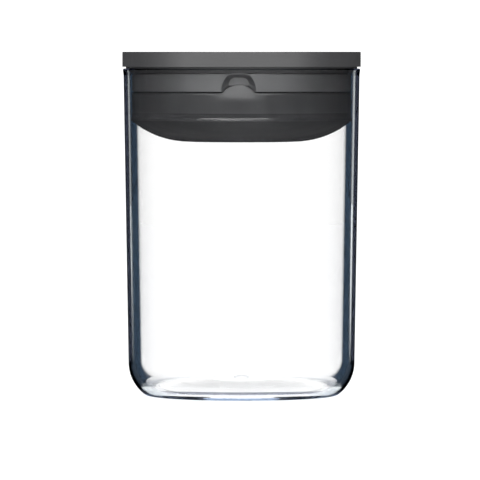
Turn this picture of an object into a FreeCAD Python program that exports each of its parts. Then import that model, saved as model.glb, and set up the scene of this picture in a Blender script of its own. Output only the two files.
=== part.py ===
import FreeCAD, Part
import math
import os

from FreeCAD import Vector

# A round glass canister with a plug lid. A flush lever in the lid turns a cam, the cam presses a
# dished expander into the soft seal boot, and the boot's lip then bears on the glass.
# Millimetres. The origin is the centre of the foot, +Z is up and the lid's scoop faces -Y.

# Glass canister
canister_height = 148.2
rim_radius = 53.5
wall_draft = 0.97
glass_wall = 2.6
base_thickness = 2.9
heel_radius = 18.0
toe_radius = 5.4
inner_toe_radius = 4.5
toe_angle = 40.0
foot_width = 4.0
punt_height = 3.4
mark_radius = 4.0
mark_height = 1.5
bead_height = 3.0
bead_bulge = 0.25
rim_rounding = 0.6

# Cap
cap_overhang = 0.5
cap_height = 6.8
cap_skin = 2.2
cap_rim_wall = 2.4
cap_rounding = 0.4
pocket_wall = 1.8
pocket_air = 0.3
well_width = 22.0
well_reach = 7.0
well_under = 9.0
well_drop = 4.5
well_corner = 5.0
well_throat = 1.5
mouth_rounding = 0.3

# Collar
seat_height = 0.8
seat_overlap = 1.5
plate_thickness = 2.0
band_gap = 1.3
neck_height = 1.8
neck_recess = 1.0
band_height = 8.5
band_rounding = 0.5
band_edge = 0.3
collar_wall = 2.4
spigot_rise = 2.0
tube_wall = 2.0
shoulder_thickness = 2.4
rib_thickness = 1.6
rib_height = 8.0
rib_count = 8

# Scoop in the collar, with the boot's pull tab standing in it
scoop_width = 15.6
scoop_top_width = 10.0
scoop_corner = 2.5
scoop_depth = 4.0
scoop_curve = 8.5
scoop_sweep = 21.0
scoop_wall = 1.8
tab_width = 14.4
tab_height = 3.4
tab_thickness = 1.8
tab_lean = 1.0
tab_gap = 0.1

# Seal boot
boot_wall = 2.2
boot_floor = 2.1
boot_rounding = 1.6
lip_depth = 23.2
lip_height = 3.2
lip_gap = 0.3
lip_edge = 0.5
dome_flat_radius = 24.0
dome_curve = 40.0
bead_drop = 5.0
groove_depth = 0.8
groove_height = 2.4

# Lever, pin and cam
lever_width = 32.0
lever_gap = 0.4
lever_sink = 0.1
lever_skin = 2.0
lever_rim = 2.2
lever_corner = 8.0
lever_rounding = 0.4
tip_margin = 16.6
tip_bevel_length = 8.0
tip_bevel_rise = 1.6
pin_radius = 1.2
pin_hold = 3.2
pin_fit = 0.05
lug_wall = 1.4
cam_radius = 3.6
cam_throw = 1.5
cam_width = 8.0
cam_gap = 0.3

# Plunger, spring and expander
head_radius = 6.6
head_thickness = 2.0
head_gap = 0.4
shaft_radius = 4.0
shaft_fit = 0.06
stop_gap = 0.5
spring_wire = 1.0
spring_turns = 5
spring_seat_gap = 0.1
hub_wall = 3.0
hub_height = 6.5
socket_depth = 3.4
expander_wall = 2.0
expander_gap = 0.3
expander_side_gap = 0.6
expander_rim = 1.4
expander_ribs = 6

# Screws
screw_radius = 1.5
screw_head_radius = 2.9
screw_head_height = 1.8
screw_fit = 0.05
screw_inset = 6.2
screw_bite = 3.4
screw_sink = 0.2
screw_reach = 8.0
boss_wall = 2.2
screw_angles = (30.0, 150.0, 210.0, 330.0)

# Shared by several pieces: a snug seat round a pin or shaft, a cut's run past a face, the front's angle
seat_fit = 0.05
cut_past = 1.0
front_angle = 270.0

# Heights and radii that follow from the sizes above
draft = math.radians(wall_draft)
wall_offset = glass_wall / math.cos(draft)
mouth_radius = rim_radius - wall_offset
cap_radius = rim_radius + cap_overhang
cap_bottom = canister_height + seat_height
cap_top = cap_bottom + cap_height
plate_bottom = cap_bottom - plate_thickness
seat_radius = mouth_radius + seat_overlap
band_radius = mouth_radius - band_gap
neck_radius = band_radius - neck_recess
band_top = canister_height - neck_height
band_bottom = band_top - band_height
band_inner = neck_radius - collar_wall
spigot_radius = band_radius - boot_wall
spigot_inner = spigot_radius - collar_wall
lip_z = canister_height - lip_depth
spigot_bottom = lip_z + spigot_rise
tab_foot = band_bottom - boot_rounding

lever_thickness = cap_height - lever_sink - lever_gap - pocket_wall - pocket_air
lever_half = lever_width / 2
lever_top = cap_top - lever_sink
lever_bottom = lever_top - lever_thickness
hinge_z = lever_top - lever_thickness / 2
hinge_y = cam_throw * (1 + math.sqrt(2)) / 2
tip_y = tip_margin - band_radius
hub_radius = lever_thickness / 2
pocket_floor = lever_bottom - lever_gap
pocket_half = lever_half + lever_gap
well_floor = pocket_floor - well_drop
pin_half = pocket_half + pin_hold
lift = 2 * cam_throw

head_top = hinge_z - cam_throw - cam_radius - cam_gap
head_bottom = head_top - head_thickness
tube_inner = head_radius + head_gap
tube_radius = tube_inner + tube_wall
screw_circle = band_inner - screw_inset


def wall_radius(height):
    """Outside radius of the drafted glass wall at a height."""
    return rim_radius - (canister_height - height) * math.tan(draft)


lip_radius = wall_radius(lip_z) - wall_offset - lip_gap
dome_rise = dome_curve - math.sqrt(dome_curve ** 2 - (lip_radius - lip_edge - dome_flat_radius) ** 2)
dome_bottom = lip_z - lip_edge - dome_rise
dome_centre_z = dome_bottom + dome_curve
boot_inner_curve = dome_curve - boot_floor
boot_inner_floor = dome_bottom + boot_floor
expander_bottom = boot_inner_floor + expander_gap
expander_curve = boot_inner_curve - expander_gap
expander_radius = spigot_inner - expander_side_gap
hub_top = expander_bottom + hub_height
shaft_end = hub_top - socket_depth
tube_bottom = hub_top + lift + stop_gap
shoulder_top = tube_bottom + shoulder_thickness
screw_seat = expander_bottom + screw_head_height + screw_sink
spring_radius = (tube_inner + shaft_radius) / 2
spring_low = shoulder_top + spring_seat_gap + spring_wire / 2
spring_high = head_bottom - spring_seat_gap - spring_wire / 2
spring_pitch = (spring_high - spring_low) / spring_turns


class Outline:
    """A closed profile of lines and arcs, drawn as radius and height from a start point."""

    def __init__(self, radius, height):
        self.start = Vector(radius, 0, height)
        self.pen = self.start
        self.edges = []

    def line(self, radius, height):
        """Draw a straight run to a point."""
        end = Vector(radius, 0, height)
        self.edges.append(Part.LineSegment(self.pen, end).toShape())
        self.pen = end

    def arc(self, radius, height, centre_radius, centre_height):
        """Draw an arc of under a half circle to a point, about a centre."""
        end = Vector(radius, 0, height)
        centre = Vector(centre_radius, 0, centre_height)
        outward = (self.pen - centre) + (end - centre)
        middle = centre + outward.normalize() * (end - centre).Length
        self.edges.append(Part.Arc(self.pen, middle, end).toShape())
        self.pen = end

    def face(self):
        """Close the profile with a straight run and fill it."""
        self.line(self.start.x, self.start.z)
        return Part.Face(Part.Wire(self.edges))

    def revolve(self):
        """Turn the profile about the object's axis."""
        return self.face().revolve(Vector(0, 0, 0), Vector(0, 0, 1), 360)


class Heel:
    """The rounded corner between a floor and the drafted wall: a tight toe arc, then a wide heel arc."""

    def __init__(self, floor_z, offset, heel, toe):
        angle = math.radians(toe_angle)
        self.floor_z = floor_z
        self.toe_centre_z = floor_z + toe
        self.heel_centre_z = self.toe_centre_z + (heel - toe) * math.cos(angle)
        self.wall_z = self.heel_centre_z - heel * math.sin(draft)
        self.wall_r = wall_radius(self.wall_z) - offset
        self.heel_centre_r = self.wall_r - heel * math.cos(draft)
        self.toe_r = self.heel_centre_r + (heel - toe) * math.sin(angle)
        self.join_r = self.toe_r + toe * math.sin(angle)
        self.join_z = self.toe_centre_z - toe * math.cos(angle)

    def climb(self, outline):
        """Draw from the floor up to the wall."""
        outline.arc(self.join_r, self.join_z, self.toe_r, self.toe_centre_z)
        outline.arc(self.wall_r, self.wall_z, self.heel_centre_r, self.heel_centre_z)

    def descend(self, outline):
        """Draw from the wall down to the floor."""
        outline.line(self.wall_r, self.wall_z)
        outline.arc(self.join_r, self.join_z, self.heel_centre_r, self.heel_centre_z)
        outline.arc(self.toe_r, self.floor_z, self.toe_r, self.toe_centre_z)


def bow(half_chord, rise):
    """Radius of the arc that rises by a height over half its chord."""
    return (half_chord ** 2 + rise ** 2) / (2 * rise)


def dish(radius, curve):
    """Height at a radius of one of the arcs that share the dome's centre."""
    return dome_centre_z - math.sqrt(curve ** 2 - (radius - dome_flat_radius) ** 2)


def cylinder(radius, bottom, top, x=0.0, y=0.0):
    """An upright cylinder."""
    return Part.makeCylinder(radius, top - bottom, Vector(x, y, bottom), Vector(0, 0, 1))


def rod(radius, half_length, y, z):
    """A cylinder along X, centred on the plane of symmetry."""
    return Part.makeCylinder(radius, 2 * half_length, Vector(-half_length, y, z), Vector(1, 0, 0))


def block(x_low, x_high, y_low, y_high, z_low, z_high):
    """A box between two corners."""
    return Part.makeBox(x_high - x_low, y_high - y_low, z_high - z_low, Vector(x_low, y_low, z_low))


def edges_along(solid, way):
    """The straight edges of a solid that run along a direction."""
    found = []
    for edge in solid.Edges:
        turn = edge.tangentAt(edge.FirstParameter).cross(way).Length
        if turn < edge.Tolerance:
            found.append(edge)
    return found


def upright_edges(solid, y_low, y_high):
    """The vertical edges of a solid between two depths."""
    upright = edges_along(solid, Vector(0, 0, 1))
    return [edge for edge in upright if y_low < edge.CenterOfMass.y < y_high]


def top_edges(solid, height):
    """The edges of a solid that lie in its top plane."""
    return [edge for edge in solid.Edges if edge.BoundBox.ZMin > height - seat_fit]


def front_prism(points, depth):
    """A solid whose outline faces front, from the outside of the collar to a depth behind it."""
    front = -(band_radius + depth)
    corners = [Vector(x, front, z) for x, z in points]
    return Part.Face(Part.makePolygon(corners + corners[:1])).extrude(Vector(0, 2 * depth, 0))


def ring_of(shape, angles):
    """Copies of a shape turned about the axis to each angle."""
    return [shape.rotated(Vector(0, 0, 0), Vector(0, 0, 1), angle) for angle in angles]


def even_angles(count):
    """Angles spread evenly round the axis, one of them to the front."""
    return [front_angle + 360.0 * step / count for step in range(count)]


def canister_body():
    """The glass vessel: drafted wall, rounded heel, pushed-up base and beaded rim."""
    foot = Heel(0.0, 0.0, heel_radius, toe_radius)
    floor = Heel(base_thickness, wall_offset, heel_radius - glass_wall, inner_toe_radius)
    foot_inner = foot.toe_r - foot_width
    floor_curve = bow(floor.toe_r, punt_height)
    floor_centre = base_thickness + punt_height - floor_curve
    mark_foot = floor_centre + math.sqrt(floor_curve ** 2 - mark_radius ** 2)
    mark_top = mark_foot + mark_height
    bead_radius = rim_radius + bead_bulge
    bead_foot = canister_height - bead_height
    shoulder = canister_height - rim_rounding

    outline = Outline(0, punt_height)
    outline.arc(foot_inner, 0, 0, punt_height - bow(foot_inner, punt_height))
    outline.line(foot.toe_r, 0)
    foot.climb(outline)
    outline.line(wall_radius(bead_foot), bead_foot)
    outline.line(bead_radius, shoulder)
    outline.arc(bead_radius - rim_rounding, canister_height, bead_radius - rim_rounding, shoulder)
    outline.line(mouth_radius + rim_rounding, canister_height)
    outline.arc(mouth_radius, shoulder, mouth_radius + rim_rounding, shoulder)
    floor.descend(outline)
    outline.arc(mark_radius, mark_foot, 0, floor_centre)
    outline.arc(0, mark_top, 0, mark_top - bow(mark_radius, mark_height))
    return outline.revolve()


def lever_plan(gap, bottom, top):
    """The lever's outline in plan, larger by a gap, as an upright solid."""
    back = hinge_y + hub_radius + gap
    half = lever_half + gap
    solid = block(-half, half, tip_y - gap, back, bottom, top)
    return solid.makeFillet(lever_corner + gap, upright_edges(solid, -cap_radius, tip_y))


def well_plan(gap, bottom, top):
    """The finger well's outline in plan, larger by a gap, as an upright solid."""
    half = well_width / 2 + gap
    solid = block(-half, half, tip_y - well_reach - gap, tip_y + well_under + gap, bottom, top)
    return solid.makeFillet(well_corner + gap, upright_edges(solid, -cap_radius, cap_radius))


def pin_seats(half_depth, x_low, x_high, bottom, top):
    """A pair of blocks, one at each end of the lever pin."""
    right = block(x_low, x_high, hinge_y - half_depth, hinge_y + half_depth, bottom, top)
    return [right, right.mirror(Vector(0, 0, 0), Vector(1, 0, 0))]


def screw_places():
    """Centres of the cap screws in plan."""
    angles = [math.radians(angle) for angle in screw_angles]
    return [(screw_circle * math.cos(angle), screw_circle * math.sin(angle)) for angle in angles]


def lid_cap():
    """The flat cap: a skin with a rim, the lever's pocket, the finger well and the screw bosses."""
    skin_bottom = cap_top - cap_skin
    inside = cap_radius - cap_rim_wall
    outline = Outline(0, cap_top)
    outline.line(cap_radius - cap_rounding, cap_top)
    outline.arc(cap_radius, cap_top - cap_rounding, cap_radius - cap_rounding, cap_top - cap_rounding)
    outline.line(cap_radius, cap_bottom)
    outline.line(inside, cap_bottom)
    outline.line(inside, skin_bottom)
    outline.line(0, skin_bottom)
    shell = outline.revolve()

    pocket = lever_plan(lever_gap + pocket_wall, pocket_floor - pocket_wall, cap_top)
    well = well_plan(pocket_wall, well_floor - pocket_wall, cap_top)
    lug_depth = pin_radius + lug_wall
    lugs = pin_seats(lug_depth, pocket_half, pin_half + lug_wall, cap_bottom, cap_top)
    boss_radius = screw_radius + boss_wall
    bosses = [cylinder(boss_radius, cap_bottom, cap_top, x, y) for x, y in screw_places()]
    solid = shell.fuse([pocket, well] + lugs + bosses)

    slot = pin_radius + seat_fit
    cuts = [lever_plan(lever_gap, pocket_floor, cap_top + cut_past)]
    cuts.append(well_plan(0, well_floor, cap_top + cut_past))
    cuts.append(cylinder(tube_inner, cap_bottom - cut_past, head_top + lift + head_gap))
    cuts.append(rod(slot, pin_half, hinge_y, hinge_z))
    cuts += pin_seats(slot, lever_half, pin_half, cap_bottom - cut_past, hinge_z)
    hole = screw_radius + screw_fit
    hole_top = cap_bottom + screw_bite + screw_fit
    cuts += [cylinder(hole, cap_bottom - cut_past, hole_top, x, y) for x, y in screw_places()]
    return round_mouth(solid.cut(cuts).removeSplitter())


def round_mouth(solid):
    """Soften the throat where the well meets the pocket, and the top edge of both."""
    upright = upright_edges(solid, tip_y - well_reach, tip_y + lever_corner)
    above_floor = [edge for edge in upright if edge.BoundBox.ZMin > pocket_floor - seat_fit]
    throat = [edge for edge in above_floor if edge.BoundBox.ZMax > lever_top]
    softened = solid.makeFillet(well_throat, throat)
    mouth = [edge for edge in top_edges(softened, cap_top) if edge.BoundBox.DiagonalLength < cap_radius]
    return softened.makeFillet(mouth_rounding, mouth)


def scoop_prism(margin, top):
    """The scoop's outline, seen from the front, larger by a margin at its sides."""
    foot = scoop_width / 2 + margin
    head = scoop_top_width / 2 + margin
    points = [(-foot, band_bottom), (foot, band_bottom), (head, top), (-head, top)]
    solid = front_prism(points, scoop_depth + scoop_curve)
    middle = (band_bottom + top) / 2
    upper = [edge for edge in edges_along(solid, Vector(0, 1, 0)) if edge.CenterOfMass.z > middle]
    return solid.makeFillet(scoop_corner, upper)


def scoop_hollow(margin):
    """The bowl of the scoop, deepest under the neck and running out to the sides and the tab."""
    centre = Vector(0, scoop_depth - band_radius - scoop_sweep, band_top)
    return Part.makeTorus(scoop_sweep - scoop_curve, scoop_curve + margin, centre, Vector(0, 0, 1))


def tab_tongue(gap):
    """The pull tab's arched outline, larger by a gap, run back from the front to the axis."""
    half = tab_width / 2 + gap
    rise = tab_height + gap
    front = -(band_radius + tab_thickness)
    corners = [Vector(-half, front, band_bottom), Vector(-half, front, tab_foot)]
    corners += [Vector(half, front, tab_foot), Vector(half, front, band_bottom)]
    edges = [Part.LineSegment(corners[i], corners[i + 1]).toShape() for i in range(3)]
    crown = Vector(0, front, band_bottom + rise)
    edges.append(Part.Arc(corners[3], crown, corners[0]).toShape())
    return Part.Face(Part.Wire(edges)).extrude(Vector(0, -front, 0))


def leaning_plug(radius):
    """A plug that narrows upward from the tab's foot, so that the tab leans back into the scoop."""
    height = band_top - tab_foot
    slope = tab_lean / (tab_height + boot_rounding)
    return Part.makeCone(radius, radius - slope * height, height, Vector(0, 0, tab_foot))


def pull_tab():
    """The tongue that stands on the boot's rim."""
    back = leaning_plug(band_radius - tab_thickness)
    return tab_tongue(0).common(leaning_plug(band_radius).cut(back))


def tab_socket():
    """Room for the tab in the collar, open to the front."""
    return tab_tongue(tab_gap).cut(leaning_plug(band_radius - tab_thickness - tab_gap))


def collar_shell():
    """The collar's turned form: seat flange, neck, band and spigot round an open cup."""
    groove_top = band_bottom - bead_drop
    groove_bottom = groove_top - groove_height
    groove_radius = spigot_radius - groove_depth
    outline = Outline(0, cap_bottom)
    outline.line(seat_radius, cap_bottom)
    outline.line(seat_radius, canister_height)
    outline.line(neck_radius, canister_height)
    outline.line(neck_radius, band_top)
    outline.line(band_radius - band_rounding, band_top)
    outline.arc(band_radius, band_top - band_rounding, band_radius - band_rounding, band_top - band_rounding)
    outline.line(band_radius, band_bottom + band_edge)
    outline.arc(band_radius - band_edge, band_bottom, band_radius - band_edge, band_bottom + band_edge)
    outline.line(spigot_radius, band_bottom)
    outline.line(spigot_radius, groove_top)
    outline.line(groove_radius, groove_top)
    outline.line(groove_radius, groove_bottom)
    outline.line(spigot_radius, groove_bottom)
    outline.line(spigot_radius, spigot_bottom)
    outline.line(spigot_inner, spigot_bottom)
    outline.line(spigot_inner, band_bottom)
    outline.line(band_inner, band_bottom + collar_wall)
    outline.line(band_inner, plate_bottom)
    outline.line(0, plate_bottom)
    return outline.revolve()


def plug_collar():
    """The plug that hangs in the mouth, with the plunger's guide tube, ribs, pin keepers and scoop."""
    tube = cylinder(tube_radius, tube_bottom, cap_bottom)
    rib_reach = band_inner + collar_wall / 2
    rib = block(tube_inner + tube_wall / 2, rib_reach, -rib_thickness / 2, rib_thickness / 2,
                plate_bottom - rib_height, plate_bottom)
    ribs = ring_of(rib, even_angles(rib_count))
    keepers = pin_seats(pin_radius, pocket_half + lever_gap, pin_half, plate_bottom, hinge_z - pin_radius)
    backing = scoop_prism(scoop_wall, plate_bottom).common(scoop_hollow(scoop_wall))
    backing = backing.common(cylinder(band_radius - band_rounding, band_bottom, plate_bottom))
    solid = collar_shell().fuse([tube, backing] + ribs + keepers)

    well_bottom = well_floor - pocket_wall - lever_gap
    cuts = [well_plan(pocket_wall + lever_gap, well_bottom, cap_bottom)]
    cuts.append(cylinder(tube_inner, shoulder_top, cap_bottom))
    cuts.append(cylinder(shaft_radius + shaft_fit, tube_bottom, shoulder_top))
    hole = screw_radius + screw_fit
    cuts += [cylinder(hole, plate_bottom, cap_bottom, x, y) for x, y in screw_places()]
    cuts.append(scoop_prism(0, band_top).common(scoop_hollow(0)))
    cuts.append(tab_socket())
    return solid.cut(cuts).removeSplitter()


def seal_boot():
    """The soft cup over the spigot: rounded band, flared lip, domed floor, inner bead and pull tab."""
    bead_top = band_bottom - bead_drop
    bead_bottom = bead_top - groove_height
    bead_inner = spigot_radius - groove_depth
    flare_top = lip_z + lip_height
    flare_curve = bow(lip_height, lip_radius - band_radius)
    shoulder = band_bottom - boot_rounding
    outline = Outline(spigot_radius, band_bottom)
    outline.line(band_radius - boot_rounding, band_bottom)
    outline.arc(band_radius, shoulder, band_radius - boot_rounding, shoulder)
    outline.line(band_radius, flare_top)
    outline.arc(lip_radius, lip_z, band_radius + flare_curve, flare_top)
    outline.line(lip_radius - lip_edge, lip_z - lip_edge)
    outline.arc(dome_flat_radius, dome_bottom, dome_flat_radius, dome_centre_z)
    outline.line(0, dome_bottom)
    outline.line(0, boot_inner_floor)
    outline.line(dome_flat_radius, boot_inner_floor)
    outline.arc(spigot_radius, dish(spigot_radius, boot_inner_curve), dome_flat_radius, dome_centre_z)
    outline.line(spigot_radius, bead_bottom)
    outline.line(bead_inner, bead_bottom)
    outline.line(bead_inner, bead_top)
    outline.line(spigot_radius, bead_top)
    return outline.revolve().fuse(pull_tab()).removeSplitter()


def flip_lever():
    """The flush lever: a panel hollow from below, its round hinge edge and the cam."""
    panel = block(-lever_half, lever_half, tip_y, hinge_y, lever_bottom, lever_top)
    panel = panel.makeFillet(lever_corner, upright_edges(panel, -cap_radius, (tip_y + hinge_y) / 2))
    hub = rod(hub_radius, lever_half, hinge_y, hinge_z)
    cam = rod(cam_radius, cam_width / 2, hinge_y - cam_throw, hinge_z - cam_throw)
    hollow_back = hinge_y - cam_throw - cam_radius - lever_rim
    hollow_front = tip_y + tip_bevel_length
    hollow_half = lever_half - lever_rim
    hollow = block(-hollow_half, hollow_half, hollow_front, hollow_back, lever_bottom, lever_top - lever_skin)
    stiffener = block(-rib_thickness / 2, rib_thickness / 2, hollow_front, hollow_back,
                      lever_bottom, lever_top - lever_skin)
    under_tip = [Vector(-lever_half, tip_y, lever_bottom)]
    under_tip.append(Vector(-lever_half, tip_y, lever_bottom + tip_bevel_rise))
    under_tip.append(Vector(-lever_half, tip_y + tip_bevel_length, lever_bottom))
    bevel = Part.Face(Part.makePolygon(under_tip + under_tip[:1])).extrude(Vector(lever_width, 0, 0))
    bore = rod(pin_radius + pin_fit, lever_half, hinge_y, hinge_z)
    solid = panel.fuse([hub, cam]).cut([hollow.cut(stiffener), bevel, bore]).removeSplitter()
    rim = [edge for edge in top_edges(solid, lever_top) if edge.CenterOfMass.y < hinge_y - seat_fit]
    return solid.makeFillet(lever_rounding, rim)


def lever_pin():
    """The steel pin that the lever turns on, held in the cap's lugs."""
    return rod(pin_radius, pin_half, hinge_y, hinge_z)


def plunger():
    """The stem under the cam, with a round head and a pilot hole for the expander's screw."""
    head = cylinder(head_radius, head_bottom, head_top)
    shaft = cylinder(shaft_radius, shaft_end, head_bottom)
    pilot = cylinder(screw_radius + screw_fit, shaft_end, shaft_end + screw_reach)
    return head.fuse(shaft).cut(pilot).removeSplitter()


def expander():
    """The dished disc that spreads the boot, with a ribbed hub for the plunger."""
    inner_curve = expander_curve - expander_wall
    rim_inner = expander_radius - expander_rim
    rim_top = dish(rim_inner, inner_curve)
    outline = Outline(0, expander_bottom)
    outline.line(dome_flat_radius, expander_bottom)
    outline.arc(expander_radius, dish(expander_radius, expander_curve), dome_flat_radius, dome_centre_z)
    outline.line(expander_radius, rim_top)
    outline.line(rim_inner, rim_top)
    outline.arc(dome_flat_radius, expander_bottom + expander_wall, dome_flat_radius, dome_centre_z)
    outline.line(0, expander_bottom + expander_wall)
    disc = outline.revolve()

    rib_top = hub_top - expander_wall
    rib_reach = dome_flat_radius + math.sqrt(inner_curve ** 2 - (dome_centre_z - rib_top) ** 2)
    rib_foot = expander_bottom + expander_wall / 2
    rib = block(0, rib_reach, -rib_thickness / 2, rib_thickness / 2, rib_foot, rib_top)
    bowl = Outline(0, expander_bottom)
    bowl.line(dome_flat_radius, expander_bottom)
    bowl.arc(expander_radius, dish(expander_radius, expander_curve), dome_flat_radius, dome_centre_z)
    bowl.line(expander_radius, cap_bottom)
    bowl.line(0, cap_bottom)
    room = bowl.revolve()
    ribs = [copy.common(room) for copy in ring_of(rib, even_angles(expander_ribs))]
    hub = cylinder(shaft_radius + hub_wall, expander_bottom, hub_top)
    socket = cylinder(shaft_radius + seat_fit, shaft_end, hub_top)
    recess = cylinder(screw_head_radius + screw_fit, expander_bottom, screw_seat)
    hole = cylinder(screw_radius + screw_fit, screw_seat, shaft_end)
    return disc.fuse([hub] + ribs).cut([socket, recess, hole]).removeSplitter()


def screw(seat, top, x=0.0, y=0.0):
    """A round-headed screw driven up from below: its head bears on the seat."""
    head = cylinder(screw_head_radius, seat - screw_head_height, seat, x, y)
    return head.fuse(cylinder(screw_radius, seat, top, x, y)).removeSplitter()


def cap_screws():
    """The screws that hold the cap to the collar."""
    return Part.makeCompound([screw(plate_bottom, cap_bottom + screw_bite, x, y) for x, y in screw_places()])


def expander_screw():
    """The screw that holds the expander to the plunger."""
    return screw(screw_seat, shaft_end + screw_reach - screw_fit)


def helix(turn):
    """A point of the spring's centre line after some turns, and the line's direction there."""
    angle = 2 * math.pi * turn
    across = spring_radius * math.cos(angle)
    along = spring_radius * math.sin(angle)
    spot = Vector(across, along, spring_low + spring_pitch * turn)
    way = Vector(-along, across, spring_pitch / (2 * math.pi))
    return spot, way.normalize()


def biarc(turn, step):
    """Two arcs that follow the helix over a step and share its direction at both ends."""
    start, start_way = helix(turn)
    end, end_way = helix(turn + step)
    chord = end - start
    ways = start_way + end_way
    square = ways.dot(ways) - 4
    half = chord.dot(ways)
    reach = (half - math.sqrt(half ** 2 - square * chord.dot(chord))) / square
    first_corner = start + start_way * reach
    last_corner = end - end_way * reach
    join = (first_corner + last_corner) * 0.5
    return [corner_arc(start, first_corner, join), corner_arc(join, last_corner, end)]


def corner_arc(start, corner, end):
    """The arc that leaves one point and reaches another along lines through a corner."""
    middle = (start + end) * 0.5
    half_chord = (end - middle).Length
    height = (corner - middle).Length
    rise = half_chord * (math.hypot(half_chord, height) - half_chord) / height
    return Part.Arc(start, middle + (corner - middle).normalize() * rise, end).toShape()


def return_spring():
    """The coil spring round the plunger's shaft, one unbroken wire."""
    quarters = range(4 * spring_turns)
    edges = [edge for quarter in quarters for edge in biarc(quarter / 4, 0.25)]
    path = Part.Wire(edges)
    start, way = helix(0)
    section = Part.Wire(Part.makeCircle(spring_wire / 2, start, way))
    print("return_spring least gap between turns", round(least_gap(edges), 2))
    return path.makePipeShell([section], True, False)


def least_gap(edges):
    """The least gap between turns of the wire, on points of arcs that lie half a turn apart or more."""
    half_turn = len(edges) // spring_turns // 2
    runs = [edge.discretize(8) for edge in edges]
    gaps = []
    for index, run in enumerate(runs):
        others = [spot for other in runs[index + half_turn:] for spot in other]
        gaps += [spot.distanceToPoint(other) for spot in run for other in others]
    return min(gaps) - spring_wire


def save(name, shape):
    """Write a piece, after a test that it is sound."""
    if not shape.isValid():
        raise ValueError(name + " is not a sound solid")
    shape.exportStep("parts/" + name + ".step")
    print(name, len(shape.Solids), "solid,", round(shape.Volume), "cubic mm")


os.makedirs("parts", exist_ok=True)
for piece in (canister_body, lid_cap, plug_collar, seal_boot, flip_lever, lever_pin, plunger, return_spring,
              expander, expander_screw, cap_screws):
    save(piece.__name__, piece())
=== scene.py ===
"""Looks of a lidded glass canister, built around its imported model.

The model is in metres with +Z up, and the lid's scoop faces -Y. Sizes of the pieces are in millimetres,
and those of the set round them are in metres.
"""

import logging
import math
from bisect import bisect
from collections.abc import Sequence
from dataclasses import dataclass
from enum import Enum

import bmesh
import bpy
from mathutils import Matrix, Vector


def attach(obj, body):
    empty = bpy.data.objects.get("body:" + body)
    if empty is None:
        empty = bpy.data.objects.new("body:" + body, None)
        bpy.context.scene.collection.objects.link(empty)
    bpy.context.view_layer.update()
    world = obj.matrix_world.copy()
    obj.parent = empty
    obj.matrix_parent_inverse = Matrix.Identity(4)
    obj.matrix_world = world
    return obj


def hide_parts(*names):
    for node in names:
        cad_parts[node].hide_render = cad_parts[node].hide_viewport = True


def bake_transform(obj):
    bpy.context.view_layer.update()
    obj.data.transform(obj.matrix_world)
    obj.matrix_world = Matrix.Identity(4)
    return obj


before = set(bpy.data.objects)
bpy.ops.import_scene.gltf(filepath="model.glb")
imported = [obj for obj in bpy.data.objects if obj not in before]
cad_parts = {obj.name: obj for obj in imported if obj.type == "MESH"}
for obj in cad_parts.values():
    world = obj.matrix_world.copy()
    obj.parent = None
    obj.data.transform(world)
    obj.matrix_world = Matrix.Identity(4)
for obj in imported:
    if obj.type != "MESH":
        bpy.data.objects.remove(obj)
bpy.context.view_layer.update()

MM = 0.001
SHARP_ANGLE = 35.0
# Bounces are counted in whole numbers, so a count below this one is zero.
NO_BOUNCE = 0.5
log = logging.getLogger("canister")

Triple = tuple[float, float, float]
Colour = Triple
Stop = tuple[float, Colour]
Pair = tuple[float, float]
Point = Pair
Ring = list[Vector]
Socket = bpy.types.NodeSocket
Feed = Socket | float | Sequence[float]
Material = bpy.types.Material
Thing = bpy.types.Object
WHITE: Colour = (1.0, 1.0, 1.0)


class Body(str, Enum):
    """The bodies that pieces ride on."""

    CANISTER = "canister"
    LID = "lid"
    PLUNGER = "plunger"


class Slot(str, Enum):
    """The record's material slots of the pieces that are made here."""

    GLASS = "clear_glass"
    CHARCOAL = "charcoal_plastic"
    SEAL = "soft_seal"
    STEEL = "steel"


class Seen(Enum):
    """The sides from which a tint in the glass shows."""

    FROM_AIR = "from_air"
    FROM_GLASS = "from_glass"
    BOTH = "both"


class Zone(Enum):
    """The zones of the vessel's surface, numbered as its material slots are."""

    WALL = 0
    INSIDE = 1
    BASE = 2
    RIM = 3
    TOE = 4
    PUNT_TIP = 5
    HEEL = 6
    BRINK = 7
    MARK = 8


class Sum(str, Enum):
    """The sums that node trees work out."""

    ABSOLUTE = "ABSOLUTE"
    ADD = "ADD"
    COMPARE = "COMPARE"
    DIVIDE = "DIVIDE"
    LESS_THAN = "LESS_THAN"
    MAXIMUM = "MAXIMUM"
    MULTIPLY = "MULTIPLY"


class Mixed(str, Enum):
    """What a mix node mixes."""

    COLOURS = "RGBA"
    VALUES = "FLOAT"


class Lit(str, Enum):
    """Whether a lamp lights only the things it is linked to, or all but those."""

    ONLY = "INCLUDE"
    ALL_BUT = "EXCLUDE"


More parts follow.
